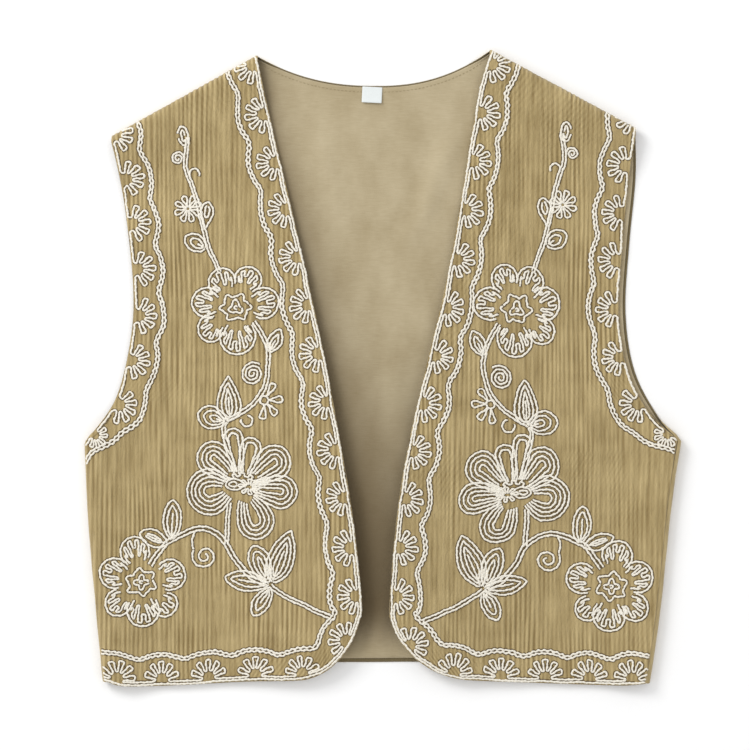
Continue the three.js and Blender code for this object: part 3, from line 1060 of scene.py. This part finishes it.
def lining_material():
    nodes = Nodes("lining")
    shade = nodes.attribute("shade")
    patches = nodes.noise(30, 50, 3)
    slubs = nodes.noise(6, 0.5, 2)
    threads = nodes.noise(0.45, 0.45, 1)
    level = nodes.math("ADD", nodes.math("MULTIPLY", patches, 0.7), nodes.math("MULTIPLY", slubs, 0.3))
    colour = nodes.mixed(nodes.ranged(level, 0.3, 0.7), LINING_DARK, LINING_LIGHT)
    colour = nodes.mixed(shade, colour, LINING_SHADE)
    normal = nodes.bump(patches, 0.002, strength=0.35)
    normal = nodes.bump(threads, 0.00022, normal)
    return nodes.cloth(colour, normal)


def thread_material():
    nodes = Nodes("thread")
    depth = nodes.attribute("depth")
    fibres = nodes.noise(0.35, 0.35, 2)
    # Painted shade: `depth` darkens the cream at the feet, groove and joints; the fibre noise is the
    # thread's own unevenness.
    level = nodes.math("ADD", depth, nodes.math("MULTIPLY", fibres, 0.25))
    colour = nodes.mixed(nodes.ranged(level, 0.2, 1.2), THREAD_TOP, THREAD_SHADED)
    normal = nodes.bump(fibres, 0.0002)
    return nodes.cloth(colour, normal, 0.7, 0.3)


def plain_material(name, colour, grain, depth, unevenness=0.12):
    nodes = Nodes(name)
    fine = nodes.noise(grain, grain, 2)
    shaded = nodes.mixed(nodes.ranged(fine, 0.2, 0.8, 0.0, unevenness), colour, (0, 0, 0, 1))
    return nodes.cloth(shaded, nodes.bump(fine, depth))


# --- The pieces

QUICK_SHARE = 1.0
FINE_SPAN, FEWEST_STEPS = 30, 3


def spread(*spans):
    """Grid values over spans of (from, to, steps), each span starting where the last one stops.
"""
    rows = []
    for start, stop, steps in spans:
        count = max(FEWEST_STEPS, int(steps * QUICK_SHARE) if steps > FINE_SPAN else steps)
        rows.append(np.linspace(start, stop, count + 1)[1:])
    return np.concatenate([[spans[0][0]], *rows])


def place_piece(piece, made_of, nodes=()):
    piece.data.materials.append(made_of)
    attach(piece, "root")
    if nodes:
        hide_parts(*nodes)
    return piece


gauze = gauze_material("gauze", LINING_DARK, 0.3, 0.8)
# The back's upward face, where it shows beside the lining, is painted shade, and its rims take part of
# that painted shade as a dark line.
back_gauze = gauze_material("back_gauze", GAUZE_SHADE, 0.7, 0.2)
lining = lining_material()
thread = thread_material()
stitch_shadow = plain_material("stitch_shadow", STITCH_SHADOW, 0.5, 0.0003)
white_tape = plain_material("white_tape", LABEL_WHITE, 0.4, 0.0002)

fronts = {}
for key, side in (("right", RIGHT), ("left", LEFT)):
    front = cloth(
        key + "_front_cloth",
        front_form(side),
        spread((-1, 0, 8), (0, 1, 240)),
        spread((0, 0.36, 31), (0.36, 0.47, 44), (0.47, 1, 46), (1, 2, 6)),
        FRONT_WALL,
        crinkle,
        (RIDGE_HEIGHT, RIDGE_HEIGHT_INSIDE),
    )
    fronts[key] = place_piece(front, gauze, [key + "_front"])

back = cloth(
    "back_cloth",
    back_form(),
    spread((-2, -1, 8), (-1, 1, 190), (1, 2, 8)),
    spread((0, 1, 60), (1, 2, 6)),
    BACK_WALL,
    lambda x, y: np.clip(0.5 + 0.5 * crinkle(x, y), 0, 1.2),
    (0.0, RIDGE_HEIGHT),
)
place_piece(back, back_gauze, ["back_shell"])


def lining_shift(x, y):
    soft = 0.35 * noise(x, y, (22, 40), 11) + 0.2 * noise(x, y, (9, 14), 12)
    return LINING_HEIGHT - BACK_HEIGHT + fold_rise(x, y) + np.maximum(soft, -0.3) * 0.6


# The row of the back's form, from 1 to 2, that the lining stops at under the shoulders and neck.
NECKLINE_ROW = 1.7

inner = cloth(
    "lining_cloth",
    back_form(),
    spread((-1.5, -1, 4), (-1, 1, 200), (1, 1.5, 4)),
    spread((0.006, 1, 120), (1, NECKLINE_ROW, 5)),
    LINING_WALL,
    shift=lining_shift,
)


def shade_between_fronts(x, y):
    """How dark the lining is in the narrow room beside the right front's edge and between the hems."""
    edge = front_lines(RIGHT)[1](np.linspace(0, 1, 300))
    beside = x - np.interp(y, edge[:, 1], edge[:, 0])
    width = mix(30, 9, eased(-120, 220, y))
    near = np.exp(-np.maximum(beside, 0) / width) * 0.75
    off_hem = eased(-236, -186, y)
    deep = (1 - eased(-190, 40, y)) * 0.8
    return np.clip(1 - (1 - near * off_hem) * (1 - deep * off_hem), 0, 1)


places = np.empty(3 * len(inner.data.vertices), np.float32)
inner.data.vertices.foreach_get("co", places)
inner_plan = places.reshape(-1, 3) / MM - PLAN_SHIFT
shade = shade_between_fronts(inner_plan[:, 0], inner_plan[:, 1])
shade_layer = inner.data.attributes.new("shade", "FLOAT", "POINT")
shade_layer.data.foreach_set("value", shade.astype(np.float32))
place_piece(inner, lining, ["back_lining"])


def label_form(c, r):
    cos, sin = math.cos(LABEL["turn"]), math.sin(LABEL["turn"])
    x, y = c * LABEL["width"] / 2, r * LABEL["height"] / 2
    z = BACK_WALL + LINING_WALL + 2 * REST_GAP + LABEL_WALL / 2 + LABEL["curl"] * ((1 - r) / 2) ** 2
    middle_x, middle_y = LABEL["middle"]
    return np.stack([middle_x + x * cos - y * sin, middle_y + x * sin + y * cos, z], -1)


label = cloth("label_cloth", label_form, spread((-1, 1, 16)), spread((-1, 1, 14)), LABEL_WALL)
place_piece(label, white_tape, ["size_label"])

# --- The embroidery

worked = {"right": [], "left": []}
for key, side, seed in (("right", RIGHT, 40), ("left", LEFT, 60)):
    ground = Ground(fronts[key])
    drawn = {
        "border": borders(side, BORDER_ENDS[key]),
        "flowers": motifs() if key == "right" else [mirrored(line) for line in motifs()],
    }
    for part, lines in drawn.items():
        lines = [by_hand(line, seed) for line in lines]
        name = f"{key}_{part}"
        worked[key].append(place_piece(stitched(name, lines, ground), thread))
        # Along each piece's stitches, a dark ribbon of painted shadow.
        worked[key].append(place_piece(shadow_ribbon(name + "_stitch_shadow", lines, ground), stitch_shadow))

UNDERSTITCH = {"inset": 3.4, "length": 2.0, "every": 3.1, "size": 0.3}
NECKLINE_REACH = 0.42

neckline_c = np.linspace(-NECKLINE_REACH, NECKLINE_REACH, 400)
neckline = back_form()(neckline_c, np.full(400, NECKLINE_ROW))[:, :2]
row = offset(neckline, -UNDERSTITCH["inset"])
distances = lengths_along(row)
dashes = []
for start in np.arange(2, distances[-1] - 4, UNDERSTITCH["every"]):
    run = np.linspace(start, start + UNDERSTITCH["length"], 8)
    dashes.append(read_at(run, distances, row))
lining_thread = plain_material("lining_thread", linear(150, 134, 100), 0.4, 0.0001)
understitch = stitched("neck_understitch", dashes, Ground(inner), UNDERSTITCH["size"])
place_piece(understitch, lining_thread)

# --- The table, the light and the camera

# The middle and the width of what the camera sees, in the plan; its height and sensor (mm).
VIEW_MIDDLE = (-6.0, -4.8)
VIEW_WIDTH = 600
CAMERA_HEIGHT = 2.5
SENSOR = 36
LENS = SENSOR * CAMERA_HEIGHT / (VIEW_WIDTH * MM)
SKY_STRENGTH = 0.86
KEY_LIGHT = {"place": (-1.7, 1.5, 1.7), "size": 1.1, "power": 38}
TABLE_SIZE = 24

bpy.ops.mesh.primitive_plane_add(size=TABLE_SIZE)
table = bpy.context.object
table.name = "table"
table.data.materials.append(plain_material("table_top", linear(250, 250, 250), 3.0, 0.00002, 0.01))

world = bpy.data.worlds.new("studio")
world.use_nodes = True
sky = world.node_tree.nodes["Background"]
sky.inputs["Color"].default_value = (1.0, 1.0, 1.0, 1.0)
sky.inputs["Strength"].default_value = SKY_STRENGTH
bpy.context.scene.world = world


def area_light(name, place, size, power):
    light = bpy.data.lights.new(name, "AREA")
    light.size, light.energy = size, power
    lamp = bpy.data.objects.new(name, light)
    lamp.location = place
    lamp.rotation_euler = (-Vector(place)).to_track_quat("-Z", "Y").to_euler()
    bpy.context.scene.collection.objects.link(lamp)
    return lamp


key_light = area_light("key_light", **KEY_LIGHT)

target = np.array([*VIEW_MIDDLE, 0]) + PLAN_SHIFT
camera = bpy.data.objects.new("camera", bpy.data.cameras.new("camera"))
camera.data.lens = LENS
camera.data.sensor_width = SENSOR
camera.location = (*target[:2] * MM, CAMERA_HEIGHT)
bpy.context.scene.collection.objects.link(camera)
bpy.context.scene.camera = camera
bpy.context.scene.view_settings.view_transform = "Standard"

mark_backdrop(table, key_light)

# Each cut piece's flat size: width, length and area, in metres.
FRONT_CUTS = {"right": ((0.221, 0.506), 0.080), "left": ((0.229, 0.510), 0.081)}

for key, (flat, area) in FRONT_CUTS.items():
    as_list(worked[key])

# --- The bounds of the CAD parts and of what is drawn

bpy.context.view_layer.update()
boxes = {"cad": cad_box, "visual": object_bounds()}
{name: [list(corner) for corner in box] for name, box in boxes.items()}
